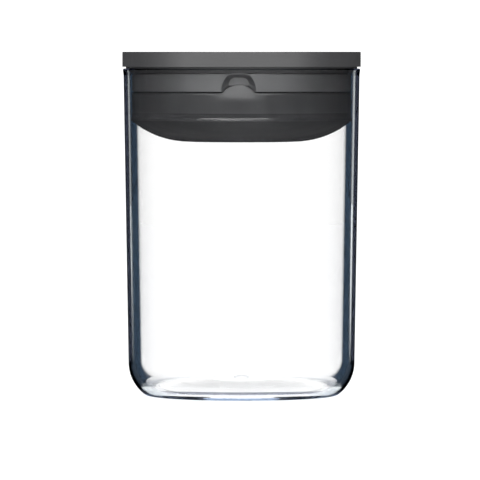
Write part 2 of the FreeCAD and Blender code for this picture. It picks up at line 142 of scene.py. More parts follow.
class Nodes:
    """A node tree, with the calls that the finishes and the backdrop share."""

    def __init__(self, tree: bpy.types.NodeTree) -> None:
        """Work on a tree."""
        self.tree = tree

    def node(self, kind: str) -> bpy.types.Node:
        """Add a node of a kind."""
        return self.tree.nodes.new(kind)

    def link(self, source: Socket, target: Socket) -> None:
        """Join two sockets."""
        self.tree.links.new(source, target)

    def feed(self, target: Socket, value: Feed) -> None:
        """Link a socket to its source, or set it where it is the same all over.

        Args:
            target: The socket.
            value: Another socket, or a plain value.
        """
        if isinstance(value, Socket):
            self.link(value, target)
        else:
            target.default_value = value

    def calculate(self, operation: Sum, *values: Feed) -> Socket:
        """Work a value out from others.

        Args:
            operation: The sum.
            values: What goes into it.

        Returns:
            What comes out.
        """
        step = self.node("ShaderNodeMath")
        step.operation = operation.value
        for target, value in zip(step.inputs, values):
            self.feed(target, value)
        return step.outputs["Value"]

    def spread(self, value: Socket, start: float, end: float, low: float = 0.0, high: float = 1.0) -> Socket:
        """Spread a range of values over another one, and hold it at its ends.

        Args:
            value: The value.
            start: Where its range starts.
            end: Where its range ends.
            low: What comes out at the start.
            high: What comes out at the end.

        Returns:
            The spread value.
        """
        spread = self.node("ShaderNodeMapRange")
        for name, limit in (("From Min", start), ("From Max", end), ("To Min", low), ("To Max", high)):
            spread.inputs[name].default_value = limit
        self.link(value, spread.inputs["Value"])
        return spread.outputs["Result"]

    def axes(self, place: Socket) -> bpy.types.NodeOutputs:
        """Split a place into its X, Y and Z.

        Args:
            place: The place.

        Returns:
            The sockets of the three.
        """
        split = self.node("ShaderNodeSeparateXYZ")
        self.link(place, split.inputs["Vector"])
        return split.outputs

    def ramp(self, value: Socket, *stops: Stop) -> Socket:
        """Colour a value through a run of stops.

        Args:
            value: The value.
            stops: Values and their colours, in rising order.

        Returns:
            The colour.
        """
        ramp = self.node("ShaderNodeValToRGB")
        marks = ramp.color_ramp.elements
        while len(marks) < len(stops):
            marks.new(1.0)
        for mark, (position, colour) in zip(marks, stops):
            mark.position = position
            mark.color = (*colour, 1.0)
        self.link(value, ramp.inputs["Fac"])
        return ramp.outputs["Color"]

    def mix(self, kind: Mixed, factor: Socket, first: Feed, second: Feed) -> Socket:
        """Mix two colours or values.

        Args:
            kind: What is mixed.
            factor: The second one's share.
            first: The first of the two.
            second: The second of the two.

        Returns:
            The mixture.
        """
        mix = self.node("ShaderNodeMix")
        mix.data_type = kind.value
        self.link(factor, mix.inputs["Factor"])
        self.feed(mix.inputs["A"], first)
        self.feed(mix.inputs["B"], second)
        return mix.outputs["Result"]


class Shader(Nodes):
    """A material with a Principled surface, and the patterns that the finishes share."""

    PATTERN_LOW = 0.3
    PATTERN_HIGH = 0.7
    FADE_STEPS = 6
    FADE_POWER = 4

    def __init__(self, name: str) -> None:
        """Start a material.

        Args:
            name: The material's name.
        """
        self.material = bpy.data.materials.new(name)
        self.material.use_nodes = True
        super().__init__(self.material.node_tree)
        self.surface = self.tree.nodes["Principled BSDF"]
        self.output = self.tree.nodes["Material Output"]
        self.place = self.node("ShaderNodeTexCoord").outputs["Object"]

    def set(self, **values: Feed) -> None:
        """Feed the surface's sockets, named with underscores for spaces."""
        for name, value in values.items():
            self.feed(self.surface.inputs[name.replace("_", " ")], value)

    def noise(self, size: float, detail: float = 2.0, squeeze: Triple = (1.0, 1.0, 1.0)) -> Socket:
        """Add a cloudy pattern.

        Args:
            size: Size of a patch, in millimetres.
            detail: How many finer layers it has.
            squeeze: How much the pattern is squeezed along each axis.

        Returns:
            The pattern, about 0 to 1.
        """
        mapping = self.node("ShaderNodeMapping")
        mapping.inputs["Scale"].default_value = squeeze
        self.link(self.place, mapping.inputs["Vector"])
        texture = self.node("ShaderNodeTexNoise")
        texture.inputs["Scale"].default_value = 1.0 / (size * MM)
        texture.inputs["Detail"].default_value = detail
        self.link(mapping.outputs["Vector"], texture.inputs["Vector"])
        return texture.outputs["Fac"]

    def between(self, pattern: Socket, low: float, high: float) -> Socket:
        """Spread a pattern's middle range over two values."""
        return self.spread(pattern, self.PATTERN_LOW, self.PATTERN_HIGH, low, high)

    def tint(self, pattern: Socket, low: Colour, high: Colour) -> Socket:
        """Colour a pattern's middle range from one colour to another."""
        return self.ramp(pattern, (self.PATTERN_LOW, low), (self.PATTERN_HIGH, high))

    def slant(self, *stops: Stop) -> Socket:
        """Shade by slant: 0 where the surface is seen straight on, 1 where it is seen along itself."""
        return self.ramp(self.node("ShaderNodeLayerWeight").outputs["Facing"], *stops)

    def matte_at_slant(self, level: float, start: float, full: float) -> None:
        """Let the sheen fade where the surface is seen at a slant.

        Args:
            level: Specular level where it is seen straight on.
            start: Slant where it begins to fade.
            full: Slant where it is gone.
        """
        stops = []
        for step in range(self.FADE_STEPS + 1):
            share = step / self.FADE_STEPS
            left = level * (1 - share) ** self.FADE_POWER
            stops.append((start + (full - start) * share, (left, left, left)))
        self.set(Specular_IOR_Level=level)
        self.set(Specular_IOR_Level=self.slant(*stops))

    def bump(self, pattern: Socket, depth: float, strength: float) -> None:
        """Raise the surface by a pattern.

        Args:
            pattern: The pattern.
            depth: Its height, in millimetres.
            strength: Share of the bump that shows.
        """
        bump = self.node("ShaderNodeBump")
        bump.inputs["Distance"].default_value = depth * MM
        bump.inputs["Strength"].default_value = strength
        self.link(pattern, bump.inputs["Height"])
        self.set(Normal=bump.outputs["Normal"])


def lighter(colour: Colour, share: float) -> Colour:
    """A colour made lighter, or darker below 1, by a share."""
    return tuple(channel * share for channel in colour)


@dataclass(frozen=True)
class MouldedPlastic:
    """Moulded plastic with a fine matte grain, whose sheen fades at a slant."""

    name: str
    colour: Colour
    roughness: float = 0.6
    roughness_spread: float = 0.05
    specular: float = 1.0
    fade_start: float = 0.12
    fade_end: float = 0.8
    detail: float = 3.0
    grain_size: float = 0.25
    grain_depth: float = 0.002
    grain_strength: float = 0.6
    cloud_size: float = 22.0
    cloud_spread: float = 0.06

    def build(self) -> Material:
        """Make the material.

        Returns:
            The material.
        """
        shader = Shader(self.name)
        shader.matte_at_slant(self.specular, self.fade_start, self.fade_end)
        cloud = shader.noise(self.cloud_size, self.detail)
        grain = shader.noise(self.grain_size, self.detail)
        dark = lighter(self.colour, 1 - self.cloud_spread)
        light = lighter(self.colour, 1 + self.cloud_spread)
        spread = self.roughness_spread
        shader.set(Base_Color=shader.tint(cloud, dark, light))
        shader.set(Roughness=shader.between(grain, self.roughness - spread, self.roughness + spread))
        shader.bump(grain, self.grain_depth, self.grain_strength)
        return shader.material


@dataclass(frozen=True)
class SoftSilicone:
    """Satin silicone rubber with a faint bloom, polished where its lip seals."""

    name: str
    colour: Colour
    roughness: float = 0.36
    smoother: float = 0.03
    rougher: float = 0.05
    specular: float = 0.42
    fade_start: float = 0.2
    fade_end: float = 0.9
    bloom_size: float = 9.0
    bloom_detail: float = 5.0
    bloom: float = 1.18
    skin_size: float = 0.5
    skin_depth: float = 0.001
    skin_strength: float = 0.5
    polish: float = 0.06
    polish_low: float = 125.0
    polish_high: float = 128.4
    polish_fade: float = 0.4

    def sealing_band(self, shader: Shader) -> Socket:
        """Pick out the polished band round the lip by its height.

        Args:
            shader: The material to work on.

        Returns:
            A share that is 1 on the band.
        """
        height = shader.axes(shader.place)["Z"]
        shares = []
        for edge, fade in ((self.polish_low, self.polish_fade), (self.polish_high, -self.polish_fade)):
            shares.append(shader.spread(height, edge * MM, (edge + fade) * MM))
        return shader.calculate(Sum.MULTIPLY, *shares)

    def build(self) -> Material:
        """Make the material.

        Returns:
            The material.
        """
        shader = Shader(self.name)
        shader.matte_at_slant(self.specular, self.fade_start, self.fade_end)
        bloom = shader.noise(self.bloom_size, self.bloom_detail)
        shader.set(Base_Color=shader.tint(bloom, self.colour, lighter(self.colour, self.bloom)))
        satin = shader.between(bloom, self.roughness - self.smoother, self.roughness + self.rougher)
        shader.set(Roughness=shader.mix(Mixed.VALUES, self.sealing_band(shader), satin, self.polish))
        shader.bump(shader.noise(self.skin_size), self.skin_depth, self.skin_strength)
        return shader.material


@dataclass(frozen=True)
class ClearGlass:
    """Clear pressed glass: the slow waves of a mould, and edges painted darker and bluer by slant.

    The edge is a run of slants and colours: painted shade and painted reflection standing in for the dark
    room that the slanted glass shows, with some real blue of thick glass.
    """

    name: str
    edge: tuple[Stop, ...] = ()
    seen: Seen = Seen.FROM_AIR
    roughness: float = 0.006
    refraction: float = 1.5
    smear_size: float = 3.0
    wave_size: float = 16.0
    wave_detail: float = 1.0
    wave_depth: float = 0.006
    wave_strength: float = 0.5
    shade: Colour = (0.87, 0.88, 0.885)

    def painted_edge_shade(self, shader: Shader) -> Socket:
        """Paint shade into the glass where it is seen at a slant.

        Args:
            shader: The material to work on.

        Returns:
            The colour that the glass lets through.
        """
        tint = shader.slant(*self.edge)
        if self.seen is Seen.BOTH:
            return tint
        sides = [tint, (*WHITE, 1.0)]
        if self.seen is Seen.FROM_GLASS:
            sides.reverse()
        within = shader.node("ShaderNodeNewGeometry").outputs["Backfacing"]
        return shader.mix(Mixed.COLOURS, within, *sides)

    def build(self) -> Material:
        """Make the material. Lamps pass it without bending, so that what it holds is lit.

        Returns:
            The material.
        """
        shader = Shader(self.name)
        shader.set(Base_Color=(*WHITE, 1.0), Transmission_Weight=1.0, IOR=self.refraction)
        shader.set(Roughness=shader.between(shader.noise(self.smear_size), 0.0, 2 * self.roughness))
        shader.bump(shader.noise(self.wave_size, self.wave_detail), self.wave_depth, self.wave_strength)
        if self.edge:
            # Painted shade and painted reflection at the slanted edges of the glass.
            shader.set(Base_Color=self.painted_edge_shade(shader))
        clear = shader.node("ShaderNodeBsdfTransparent")
        clear.inputs["Color"].default_value = (*self.shade, 1.0)
        mix = shader.node("ShaderNodeMixShader")
        path = shader.node("ShaderNodeLightPath")
        shader.link(path.outputs["Is Shadow Ray"], mix.inputs["Fac"])
        shader.link(shader.surface.outputs["BSDF"], mix.inputs[1])
        shader.link(clear.outputs["BSDF"], mix.inputs[2])
        shader.link(mix.outputs["Shader"], shader.output.inputs["Surface"])
        return shader.material


@dataclass(frozen=True)
class DrawnSteel:
    """Stainless steel with fine drawn scratches."""

    name: str
    colour: Colour = (0.46, 0.46, 0.475)
    dark: float = 0.9
    light: float = 1.05
    roughness: float = 0.5
    smoother: float = 0.06
    rougher: float = 0.08
    scratch_size: float = 0.5
    scratch_detail: float = 3.0
    scratch_run: Triple = (1.0, 1.0, 0.12)
    scratch_depth: float = 0.004
    scratch_strength: float = 0.4

    def build(self) -> Material:
        """Make the material.

        Returns:
            The material.
        """
        shader = Shader(self.name)
        scratch = shader.noise(self.scratch_size, self.scratch_detail, self.scratch_run)
        colour = shader.tint(scratch, lighter(self.colour, self.dark), lighter(self.colour, self.light))
        rough = shader.between(scratch, self.roughness - self.smoother, self.roughness + self.rougher)
        shader.set(Metallic=1.0, Base_Color=colour, Roughness=rough)
        shader.bump(scratch, self.scratch_depth, self.scratch_strength)
        return shader.material


def glasses() -> dict[Zone, Material]:
    """Make the vessel's glasses, with shade painted into their slanted edges.

    Returns:
        A glass for each zone of its surface.
    """
    # Painted shade: the dark bands of wall, heel and inside stand for the dark room seen by refraction and
    # inner reflection, the rim's dark for the shadow under the cap, the toe's navy and the brink's dark line
    # for refraction at the base, and the mark's grey for the mark's outline; the pale and the blue are
    # partly the real blue of thick glass.
    pale = (0.72, 0.82, 0.86)
    dark = (0.0014, 0.0019, 0.0042)
    inside = (0.0012, 0.0034, 0.0085)
    rim = (0.3, 0.34, 0.38)
    toe = (0.09, 0.16, 0.34)
    brink = (0.08, 0.09, 0.13)
    mark = (0.3, 0.32, 0.36)
    kinds = {
        Zone.WALL: ClearGlass("clear_glass", ((0.5, WHITE), (0.7, pale), (0.74, dark))),
        Zone.INSIDE: ClearGlass("clear_glass_inside", ((0.6, WHITE), (0.66, inside)), Seen.BOTH),
        Zone.RIM: ClearGlass("clear_glass_rim", ((0.1, rim), (0.6, dark)), refraction=1.0),
        Zone.BASE: ClearGlass("clear_glass_base", wave_depth=0.02),
        Zone.TOE: ClearGlass("clear_glass_toe", ((0.22, WHITE), (0.4, toe))),
        Zone.HEEL: ClearGlass("clear_glass_heel", ((0.5, WHITE), (0.73, pale), (0.79, dark))),
        Zone.PUNT_TIP: ClearGlass("clear_glass_foot", refraction=1.0),
        Zone.BRINK: ClearGlass("clear_glass_brink", ((0.0, brink), (1.0, brink)), Seen.FROM_GLASS),
        Zone.MARK: ClearGlass("clear_glass_mark", ((0.3, WHITE), (0.8, mark))),
    }
    return {zone: kind.build() for zone, kind in kinds.items()}


class Profile:
    """A run of points in radius and height, drawn with lines and arcs."""

    ARC_STEP = math.radians(5.0)
    ARC_LEAST = 3
    SUPPORT = 0.4
    SHORT_RUN = 3 * SUPPORT

    def __init__(self, radius: float, height: float) -> None:
        """Start at a point."""
        self.points: list[Point] = [(radius, height)]
        self.zones: list[tuple[int, Zone]] = []

    def enter(self, zone: Zone, later: int = 0) -> "Profile":
        """Start a zone of the surface at the last point, or a number of points later."""
        self.zones.append((len(self.points) - 1 + later, zone))
        return self

    def line(self, radius: float, height: float) -> "Profile":
        """Draw a straight run, with a support point near each end so that its shading stays true.

        Args:
            radius: Where it ends.
            height: Where it ends.

        Returns:
            The profile itself.
        """
        start = Vector(self.points[-1])
        end = Vector((radius, height))
        run = end - start
        if run.length > self.SHORT_RUN:
            step = run.normalized() * self.SUPPORT
            self.points.append(tuple(start + step))
            self.points.append(tuple(end - step))
        self.points.append((radius, height))
        return self

    def steps(self, radius: float, height: float, count: int) -> "Profile":
        """Draw a straight run in even steps, for a stretch that is shaped later.

        Args:
            radius: Where it ends.
            height: Where it ends.
            count: How many steps it takes.

        Returns:
            The profile itself.
        """
        start = Vector(self.points[-1])
        end = Vector((radius, height))
        self.points += [tuple(start.lerp(end, step / count)) for step in range(1, count + 1)]
        return self

    def arc(self, radius: float, height: float, centre_radius: float, centre_height: float) -> "Profile":
        """Draw the shorter arc about a centre.

        Args:
            radius: Where it ends.
            height: Where it ends.
            centre_radius: Where its centre is.
            centre_height: Where its centre is.

        Returns:
            The profile itself.
        """
        centre = Vector((centre_radius, centre_height))
        start = Vector(self.points[-1]) - centre
        end = Vector((radius, height)) - centre
        first = math.atan2(start.y, start.x)
        sweep = math.remainder(math.atan2(end.y, end.x) - first, 2 * math.pi)
        steps = max(self.ARC_LEAST, math.ceil(abs(sweep) / self.ARC_STEP))
        for step in range(1, steps):
            angle = first + sweep * step / steps
            self.points.append(tuple(centre + Vector((math.cos(angle), math.sin(angle))) * start.length))
        self.points.append((radius, height))
        return self


def even_angles(count: int) -> list[float]:
    """Angles spread evenly round the axis, the first to the front."""
    return [2 * math.pi * step / count for step in range(count)]


def polar(radius: float, angle: float, height: float = 0.0) -> Vector:
    """A point at an angle from the front."""
    return Vector((radius * math.sin(angle), -radius * math.cos(angle), height))


def ease(share: float) -> float:
    """A smooth step from 0 to 1."""
    held = min(1.0, max(0.0, share))
    return held * held * (3 - 2 * held)


def bow(half_chord: float, rise: float) -> float:
    """Radius of the arc that rises by a height over half its chord."""
    return (half_chord ** 2 + rise ** 2) / (2 * rise)


def rings_of(profile: Profile, angles: Sequence[float]) -> list[Ring]:
    """Turn a profile about the axis.

    Args:
        profile: The profile. Its points on the axis become poles.
        angles: The angles to turn it to.

    Returns:
        A ring of points for each of its points.
    """
    rings = []
    for radius, height in profile.points:
        turned = angles if radius > 0 else angles[:1]
        rings.append([polar(radius, angle, height) for angle in turned])
    return rings


def ring_faces(rings: Sequence[Ring], closed: bool) -> list[tuple[int, ...]]:
    """Find the faces that join each ring to the next.

    Args:
        rings: The rings, of equal length apart from poles of one point.
        closed: Whether the last ring joins the first.

    Returns:
        The faces, as runs of point numbers.
    """
    starts = [sum(len(ring) for ring in rings[:index]) for index in range(len(rings))]
    pairs = list(zip(range(len(rings)), range(1, len(rings))))
    if closed:
        pairs.append((len(rings) - 1, 0))
    faces: list[tuple[int, ...]] = []
    for low, high in pairs:
        count = max(len(rings[low]), len(rings[high]))
        for step in range(count):
            after = (step + 1) % count
            corners = [starts[low] + step % len(rings[low]), starts[low] + after % len(rings[low]),
                       starts[high] + after % len(rings[high]), starts[high] + step % len(rings[high])]
            faces.append(tuple(dict.fromkeys(corners)))
    return faces


def add_thing(name: str, data: bpy.types.ID) -> Thing:
    """Put a mesh, a lamp or a camera into the scene.

    Args:
        name: Its name.
        data: What it shows.

    Returns:
        The object.
    """
    thing = bpy.data.objects.new(name, data)
    bpy.context.scene.collection.objects.link(thing)
    return thing


def look_at(thing: Thing, target: Triple) -> None:
    """Turn a lamp or a camera towards a point."""
    way = Vector(target) - thing.location
    thing.rotation_euler = way.to_track_quat("-Z", "Y").to_euler()


def add_piece(name: str, spots: Sequence[Vector], faces: Sequence[Sequence[int]],
              sharp: float = SHARP_ANGLE) -> Thing:
    """Make a smooth-shaded mesh object.

    Args:
        name: The piece's name.
        spots: Its points, in millimetres.
        faces: Its faces.
        sharp: Angle in degrees from which an edge stays sharp.

    Returns:
        The object.
    """
    mesh = bpy.data.meshes.new(name)
    mesh.from_pydata([spot * MM for spot in spots], [], faces)
    turned = bmesh.new()
    turned.from_mesh(mesh)
    bmesh.ops.recalc_face_normals(turned, faces=turned.faces)
    turned.to_mesh(mesh)
    turned.free()
    mesh.shade_smooth()
    mesh.set_sharp_from_angle(angle=math.radians(sharp))
    return add_thing(name, mesh)


def add_rings(name: str, rings: Sequence[Ring], closed: bool = False, sharp: float = SHARP_ANGLE) -> Thing:
    """Make a piece from rings of points."""
    return add_piece(name, [spot for ring in rings for spot in ring], ring_faces(rings, closed), sharp)


def add_prism(name: str, outline: Ring, low: float, high: float) -> Thing:
    """Make an upright prism, to cut a piece with.

    Args:
        name: The prism's name.
        outline: Its outline in plan, which bulges out all round.
        low: Height of its bottom.
        high: Height of its top.

    Returns:
        The prism.
    """
    middle = sum(outline, Vector()) / len(outline)
    rings = []
    for height, spots in ((low, [middle]), (low, outline), (high, outline), (high, [middle])):
        rings.append([Vector((spot.x, spot.y, height)) for spot in spots])
    return add_rings(name, rings)


def cut_out(piece: Thing, tools: Sequence[Thing]) -> None:
    """Cut tools out of a piece and drop them.

    Args:
        piece: The piece.
        tools: Closed shapes that are cut out of it.
    """
    for tool in tools:
        cut = piece.modifiers.new(tool.name, "BOOLEAN")
        cut.operation = "DIFFERENCE"
        cut.solver = "EXACT"
        cut.object = tool
    shaped = piece.evaluated_get(bpy.context.evaluated_depsgraph_get())
    piece.data = bpy.data.meshes.new_from_object(shaped)
    piece.modifiers.clear()
    piece.data.set_sharp_from_angle(angle=math.radians(SHARP_ANGLE))
    for tool in tools:
        bpy.data.objects.remove(tool)


def settle(piece: Thing, finishes: Sequence[Material], body: Body, node: str) -> None:
    """Dress a new piece and say what it rides on and stands for.

    Args:
        piece: The piece.
        finishes: Its materials.
        body: The body that it moves with.
        node: The CAD node that it stands for.
    """
    for finish in finishes:
        piece.data.materials.append(finish)
    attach(piece, body.value)
    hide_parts(node)
    log.info("%s rides on %s, %d faces", piece.name, body.value, len(piece.data.polygons))


def dress(node: str, finish: Material) -> None:
    """Give a CAD node a finish.

    Args:
        node: The node's name.
        finish: The material.
    """
    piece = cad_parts[node]
    piece.data.materials.clear()
    piece.data.materials.append(finish)
    log.info("%s keeps its CAD mesh", node)


@dataclass
class Vessel:
    """The clear glass canister."""

    finishes: dict[Zone, Material]
    height: float = 148.2
    rim_radius: float = 53.5
    draft: float = math.radians(0.97)
    wall: float = 2.6
    base: float = 2.9
    heel: float = 18.0
    toe: float = 5.4
    inner_toe: float = 4.5
    toe_angle: float = math.radians(40.0)
    foot_width: float = 4.0
    punt: float = 3.4
    mark_radius: float = 4.0
    mark_height: float = 1.5
    bead_height: float = 3.0
    bead_bulge: float = 0.25
    rim_rounding: float = 0.6
    columns: int = 256

    def wall_radius(self, height: float) -> float:
        """Outside radius of the drafted wall at a height."""
        return self.rim_radius - (self.height - height) * math.tan(self.draft)

    def corner(self, floor: float, offset: float, heel: float, toe: float) -> list[Point]:
        """Work out the rounded corner between a floor and the wall.

        Args:
            floor: Height of the floor.
            offset: How far the wall lies inside the glass's outside.
            heel: Radius of the wide arc.
            toe: Radius of the tight arc.

        Returns:
            The toe's start and centre, the join of the arcs, the heel's centre and its end on the wall.
        """
        toe_z = floor + toe
        heel_z = toe_z + (heel - toe) * math.cos(self.toe_angle)
        end_z = heel_z - heel * math.sin(self.draft)
        end_r = self.wall_radius(end_z) - offset
        heel_r = end_r - heel * math.cos(self.draft)
        toe_r = heel_r + (heel - toe) * math.sin(self.toe_angle)
        join = (toe_r + toe * math.sin(self.toe_angle), toe_z - toe * math.cos(self.toe_angle))
        return [(toe_r, floor), (toe_r, toe_z), join, (heel_r, heel_z), (end_r, end_z)]

    def profile(self) -> Profile:
        """Draw the vessel's section, from the middle of the underside round to the middle of the floor.

        Returns:
            The section and its zones.
        """
        offset = self.wall / math.cos(self.draft)
        foot = self.corner(0.0, 0.0, self.heel, self.toe)
        floor = self.corner(self.base, offset, self.heel - self.wall, self.inner_toe)
        foot_inner = foot[0][0] - self.foot_width
        floor_curve = bow(floor[0][0], self.punt)
        floor_centre = self.base + self.punt - floor_curve
        mark_foot = floor_centre + math.sqrt(floor_curve ** 2 - self.mark_radius ** 2)
        mark_top = mark_foot + self.mark_height
        soft = self.rim_rounding
        bead = self.rim_radius + self.bead_bulge
        bead_foot = self.height - self.bead_height
        shoulder = self.height - soft
        mouth = self.rim_radius - offset
        section = Profile(0.0, self.punt).enter(Zone.PUNT_TIP).enter(Zone.BASE, 1)
        section.arc(foot_inner, 0.0, 0.0, self.punt - bow(foot_inner, self.punt)).line(*foot[0])
        section.enter(Zone.TOE).arc(*foot[2], *foot[1])
        section.enter(Zone.HEEL).arc(*foot[4], *foot[3])
        section.enter(Zone.WALL).line(self.wall_radius(bead_foot), bead_foot).line(bead, shoulder)
        section.enter(Zone.RIM).arc(bead - soft, self.height, bead - soft, shoulder)
        section.line(mouth + soft, self.height).arc(mouth, shoulder, mouth + soft, shoulder)
        section.enter(Zone.INSIDE).line(*floor[4]).arc(*floor[2], *floor[3])
        section.enter(Zone.BRINK, -1).arc(*floor[0], *floor[1])
        section.enter(Zone.BASE).arc(self.mark_radius, mark_foot, 0.0, floor_centre)
        section.enter(Zone.MARK).arc(0.0, mark_top, 0.0, mark_top - bow(self.mark_radius, self.mark_height))
        return section

    def build(self) -> None:
        """Make the vessel, with a glass for each zone."""
        section = self.profile()
        piece = add_rings("glass_vessel", rings_of(section, even_angles(self.columns)))
        settle(piece, [self.finishes[zone] for zone in Zone], Body.CANISTER, "canister_body")
        starts = [start for start, zone in section.zones]
        for face in piece.data.polygons:
            found = bisect(starts, face.index // self.columns) - 1
            face.material_index = section.zones[found][1].value


@dataclass(frozen=True)
class PlugSizes:
    """Sizes that the lid's collar and its boot share."""

    band_radius: float = 49.6
    neck_radius: float = 48.6
    spigot_radius: float = 47.4
    spigot_inner: float = 45.0
    band_inner: float = 46.2
    band_top: float = 146.4
    seam: float = 137.9
    bead_top: float = 132.9
    bead_height: float = 2.4
    bead_depth: float = 0.8
    tab_half: float = 7.25
    tab_height: float = 3.35
    tab_lean: float = 1.2

    def rim(self, across: float) -> float:
        """Height of the boot's rim, raised in an arch by the tab."""
        share = min(1.0, abs(across) / self.tab_half)
        return self.seam + self.tab_height * (1 - share * share)

    def tab_back(self, height: float) -> float:
        """Radius of the tab's back, which leans in above the seam."""
        rise = min(1.0, max(0.0, (height - self.seam) / self.tab_height))
        return self.spigot_radius - self.tab_lean * rise


@dataclass(frozen=True)
class FrontColumns:
    """Columns of points that crowd together at the front, round a shape that is symmetric there."""

    reach: float = 13.0
    inside: tuple[float, ...] = (0.0, 0.12, 0.24, 0.36, 0.48, 0.58, 0.67,
                                 0.75, 0.81, 0.86, 0.9, 0.935, 0.965, 0.985)
    outside: tuple[float, ...] = (0.0, 0.015, 0.03, 0.05, 0.1, 0.2, 0.35, 0.55, 0.75)
    around: int = 200

    def shares(self) -> list[float]:
        """Shares across the front from left to right: up to 1 inside the shape, from 1 to 2 beside it."""
        half = [*self.inside, *(1 + share for share in self.outside)]
        return [-share for share in reversed(half[1:])] + half

    def angles(self, half_width: float, radius: float) -> list[float]:
        """Find the angles of all columns, from the left of the shape once round.

        Args:
            half_width: Half the shape's width at this height.
            radius: Radius that the widths are measured on.

        Returns:
            The angles, first those across the front and then those round the back.
        """
        found = []
        for share in self.shares():
            size = abs(share)
            beside = half_width + (self.reach - half_width) * max(0.0, size - 1)
            across = math.copysign(half_width * size if size < 1 else beside, share)
            found.append(math.asin(across / radius))
        edge = math.asin(self.reach / radius)
        gap = 2 * (math.pi - edge)
        found += [edge + gap * step / self.around for step in range(self.around + 1)]
        return found


@dataclass
class Collar:
    """The plug's collar, with the finger scoop in front and the plunger's guide tube inside."""

    finish: Material
    sizes: PlugSizes
    columns: FrontColumns
    top: float = 149.0
    plate_bottom: float = 147.0
    seat_radius: float = 52.4
    seat_bottom: float = 148.2
    seat_rounding: float = 0.15
    band_rounding: float = 0.5
    band_edge: float = 0.3
    spigot_bottom: float = 127.0
    lining_rise: float = 2.4
    tube_radius: float = 9.0
    tube_inner: float = 7.0
    tube_bottom: float = 127.55
    shaft_hole: float = 4.06
    shoulder_top: float = 129.95
    scoop_foot: float = 7.65
    scoop_head: float = 3.75
    scoop_bow: float = 2.4
    scoop_depth: float = 4.5
    scoop_slope: float = 2.2
    tab_air: float = 0.1
    crevice: float = 1.4
    crevice_height: float = 0.5
    scoop_lip: float = 3.2
    scoop_lip_depth: float = 0.7
    scoop_wall: float = 4.2
    scoop_rounding: float = 0.22
    scoop_backing: float = 1.8
    seam_fold: float = 0.02
    well_half: float = 13.2
    well_front: float = -42.2
    well_back: float = -21.8
    well_corner: float = 7.2
    screw_hole: float = 1.55
    screw_circle: float = 40.0
    screw_angles: tuple[float, ...] = (60.0, 120.0, 240.0, 300.0)
    cut_past: float = 1.0
    band_steps: int = 56
    lining_steps: int = 16
    short_steps: int = 2
    corner_steps: int = 8
    hole_steps: int = 24

    def level(self, height: float) -> float:
        """Share of the way up the band."""
        share = (height - self.sizes.seam) / (self.sizes.band_top - self.sizes.seam)
        return min(1.0, max(0.0, share))

    def half_width(self, height: float) -> float:
        """Half the scoop's width at a height."""
        return self.scoop_foot - (self.scoop_foot - self.scoop_head) * self.level(height) ** self.scoop_bow

    def bowl(self, across: float, height: float) -> float:
        """Depth of the scoop away from its sides: room for the tab, a slope along its arch, then the bowl.

        Args:
            across: Distance from the middle.
            height: Height on the band.

        Returns:
            The depth behind the band's face.
        """
        room = self.sizes.band_radius - self.sizes.tab_back(height) + self.tab_air
        above = height - self.sizes.rim(across)
        rise = above / self.crevice_height
        room += self.crevice * ease(rise + 1) * (1 - ease(rise - 1))
        depth = room + (self.scoop_depth - room) * ease(above / self.scoop_slope)
        under = ease((self.sizes.band_top - height) / self.scoop_lip)
        return self.scoop_lip_depth + (depth - self.scoop_lip_depth) * under

    def depth(self, share: float, height: float) -> float:
        """Depth of the scoop, which its sides take to nothing with a soft edge.

        Args:
            share: A column's share across the scoop.
            height: Height on the band.

        Returns:
            The depth behind the band's face.
        """
        half = self.half_width(height)
        size = abs(share)
        inside = (1 - size) * (half if size < 1 else self.columns.reach - half)
        soft = self.scoop_rounding
        if inside < soft:
            inside = max(0.0, inside + soft) ** 2 / (4 * soft)
        wall = math.sin(math.pi / 2 * min(1.0, inside / self.scoop_wall))
        return self.bowl(min(size, 1.0) * half, height) * wall

    def profile(self) -> Profile:
        """Draw the collar's section as one closed run, from the top of the tube's bore.

        Returns:
            The section, before the scoop is pressed into it.
        """
        size = self.sizes
        band = size.band_radius
        spigot = size.spigot_radius
        seat = self.seat_radius - self.seat_rounding
        seat_edge = self.top - self.seat_rounding
        crown = band - self.band_rounding
        shoulder = size.band_top - self.band_rounding
        edge = band - self.band_edge
        groove = spigot - size.bead_depth
        groove_bottom = size.bead_top - size.bead_height
        section = Profile(self.tube_inner, self.top)
        section.line(seat, self.top).arc(self.seat_radius, seat_edge, seat, seat_edge)
        section.line(self.seat_radius, self.seat_bottom).line(size.neck_radius, self.seat_bottom)
        section.line(size.neck_radius, size.band_top).steps(crown, size.band_top, self.short_steps)
        section.arc(band, shoulder, crown, shoulder)
        section.steps(band, size.seam + self.band_edge, self.band_steps)
        section.arc(edge, size.seam, edge, size.seam + self.band_edge)
        section.line(spigot, size.seam).line(spigot, size.bead_top)
        section.line(groove, size.bead_top).line(groove, groove_bottom).line(spigot, groove_bottom)
        section.line(spigot, self.spigot_bottom).line(size.spigot_inner, self.spigot_bottom)
        section.line(size.spigot_inner, size.seam).line(size.band_inner, size.seam + self.lining_rise)
        section.steps(size.band_inner, self.plate_bottom, self.lining_steps)
        section.line(self.tube_radius, self.plate_bottom).line(self.tube_radius, self.tube_bottom)
        section.line(self.shaft_hole, self.tube_bottom).line(self.shaft_hole, self.shoulder_top)
        section.line(self.tube_inner, self.shoulder_top).steps(self.tube_inner, self.top, self.short_steps)
        section.points.pop()
        return section

    def pressed(self, radius: float, height: float, share: float) -> float:
        """Press the scoop into a point of the section, with backing behind it.

        Args:
            radius: The point's radius on the section.
            height: Its height.
            share: Its column's share across the scoop.

        Returns:
            Its radius after that.
        """
        size = self.sizes
        over_seam = height - size.seam
        on_band = radius >= size.spigot_radius and -self.seam_fold <= over_seam and height <= size.band_top
        behind = size.spigot_inner <= radius <= size.band_inner and over_seam >= 0
        if not on_band and not behind:
            return radius
        floor = size.band_radius - self.depth(share, height)
        if behind:
            return min(radius, floor - self.scoop_backing)
        if over_seam <= self.seam_fold:
            floor = max(floor, size.spigot_radius + self.seam_fold * (radius - size.spigot_radius))
        return min(radius, floor)

